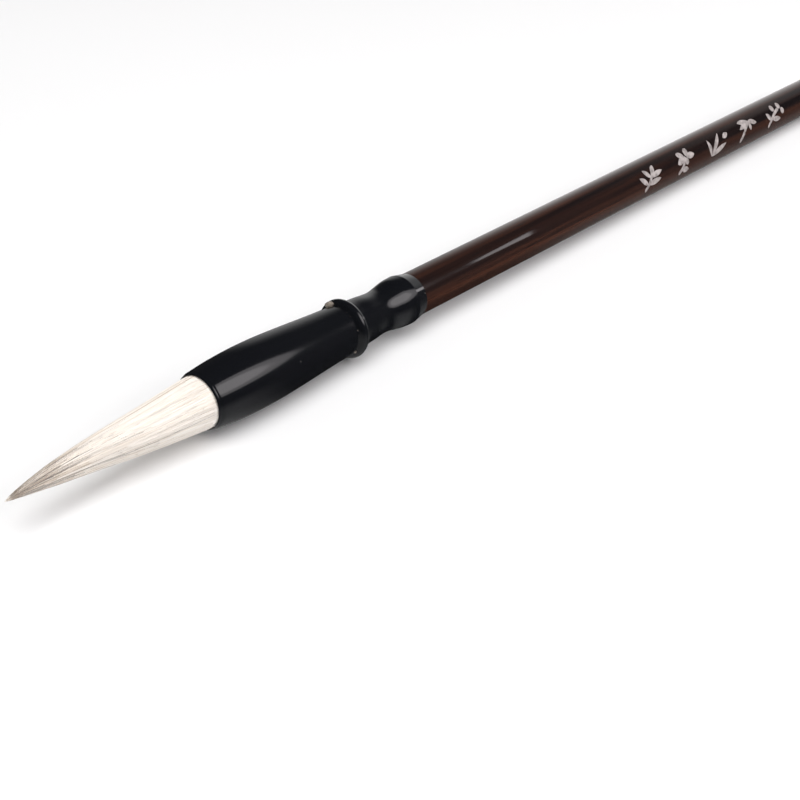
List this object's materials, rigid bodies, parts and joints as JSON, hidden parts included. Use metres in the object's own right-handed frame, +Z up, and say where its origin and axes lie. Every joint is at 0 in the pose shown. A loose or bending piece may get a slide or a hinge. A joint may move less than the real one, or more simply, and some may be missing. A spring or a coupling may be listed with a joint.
{
  "type": "calligraphy brush",
  "caption": "Round pointed calligraphy brush: white hair tuft in a waisted black ferrule on a straight dark wooden handle with a domed end cap.",
  "frame": {"origin": "under the middle of the brush, at the height of the lowest point of the ferrule's belly; the brush's own axis runs level 6.66 mm above it", "axes": "+Y along the brush from the hair's point to the tail cap; +Z up; +X to the side that carries the engraved ornaments"},
  "size_m": [0.0134, 0.302, 0.0133],
  "materials": {
    "outer_hair": "fine white goat hair with a soft sheen",
    "lining_hair": "short white lining hair",
    "core_hair": "stiffer hair, grey-brown at the point",
    "bound_hair": "hair stiffened with glue",
    "thread": "fine waxed thread",
    "rosin": "hard amber resin",
    "lacquer_black": "polished black, like horn or lacquer",
    "dark_wood": "very dark polished hardwood",
    "pale_pigment": "dry off-white pigment in the engraving"
  },
  "bodies": {
    "holder": {"hair_root": "bound_hair", "binding_thread": "thread", "rosin_seal": "rosin", "ferrule_cup": "lacquer_black", "ferrule_neck": "lacquer_black", "handle": "dark_wood", "handle_marks": "pale_pigment", "end_cap": "lacquer_black"},
    "tuft": {"outer_hair": "outer_hair", "lining_hair": "lining_hair", "core_hair": "core_hair"}
  },
  "joints": [
    {"name": "tuft_bend", "type": "hinge", "parent": "holder", "child": "tuft", "pos_m": [0, -0.108, 0.00666], "axis": [0, 0, 1], "range_deg": [-35, 35], "stiffness_Nm_per_rad": 0.004}
  ]
}
